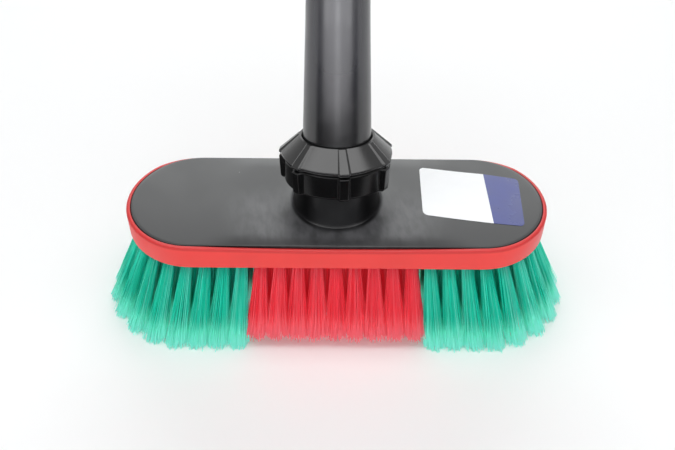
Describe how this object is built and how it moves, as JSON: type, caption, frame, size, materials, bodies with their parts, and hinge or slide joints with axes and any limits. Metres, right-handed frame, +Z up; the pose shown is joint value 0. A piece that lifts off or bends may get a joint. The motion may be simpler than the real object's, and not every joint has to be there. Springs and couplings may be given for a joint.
{
  "type": "wash brush",
  "caption": "Water-fed wash brush: obround head with soft green and red bristles, a rubber edge and a short tapered handle held by a union nut.",
  "frame": {"origin": "middle of the outer box, on the floor plane that the green bristle tips stand on", "axes": "+Z up, +X along the head's length, +Y to the back, the way the handle leans"},
  "size_m": [0.2768, 0.157, 0.4327],
  "materials": {
    "green_bristle": "soft translucent bristle, split tips",
    "red_bristle": "soft bristle, split tips",
    "black_plastic": "satin moulded, lightly scratched",
    "nut_plastic": "satin moulded",
    "handle_plastic": "smooth satin",
    "red_rubber": "smooth matt",
    "seal_rubber": "matt",
    "stainless_steel": "bright",
    "brass": "turned",
    "acetal": "turned",
    "fibre": "pressed",
    "hose": "smooth"
  },
  "bodies": {
    "head": {"top_cover": "black_plastic", "brush_block": "black_plastic", "cover_gasket": "seal_rubber", "rubber_edge": "red_rubber", "bristles_green_left": "green_bristle", "bristles_green_right": "green_bristle", "bristles_red_middle": "red_bristle", "cover_screw_1": "stainless_steel", "cover_screw_2": "stainless_steel", "cover_screw_3": "stainless_steel", "cover_screw_4": "stainless_steel", "cover_screw_5": "stainless_steel", "cover_screw_6": "stainless_steel", "flange_seal": "seal_rubber"},
    "handle": {"handle_tube": "handle_plastic", "handle_spigot": "nut_plastic", "spigot_o_ring": "seal_rubber", "water_hose": "hose", "hose_ferrule_lower": "stainless_steel", "hose_ferrule_upper": "stainless_steel", "handle_end_plug": "nut_plastic", "inlet_nipple": "brass", "inlet_washer": "fibre", "inlet_lock_nut": "brass"},
    "slip_ring": {"nut_slip_ring": "acetal"},
    "nut": {"union_nut": "nut_plastic"}
  },
  "joints": [
    {"name": "handle_swivel", "type": "hinge", "parent": "head", "child": "handle", "pos_m": [0, -0.02971, 0.0752], "axis": [0, 0.2672, 0.9636], "continuous": true},
    {"name": "nut_rise", "type": "slide", "parent": "head", "child": "slip_ring", "axis": [0, 0.2672, 0.9636], "range_m": [0, 0.012]},
    {"name": "nut_turn", "type": "hinge", "parent": "slip_ring", "child": "nut", "pos_m": [0, -0.02971, 0.0752], "axis": [0, 0.2672, 0.9636], "range_deg": [0, 1080]}
  ],
  "couplings": [
    {"joint": "nut_rise", "follows": "nut_turn", "m_per_rad": 0.00063662}
  ]
}
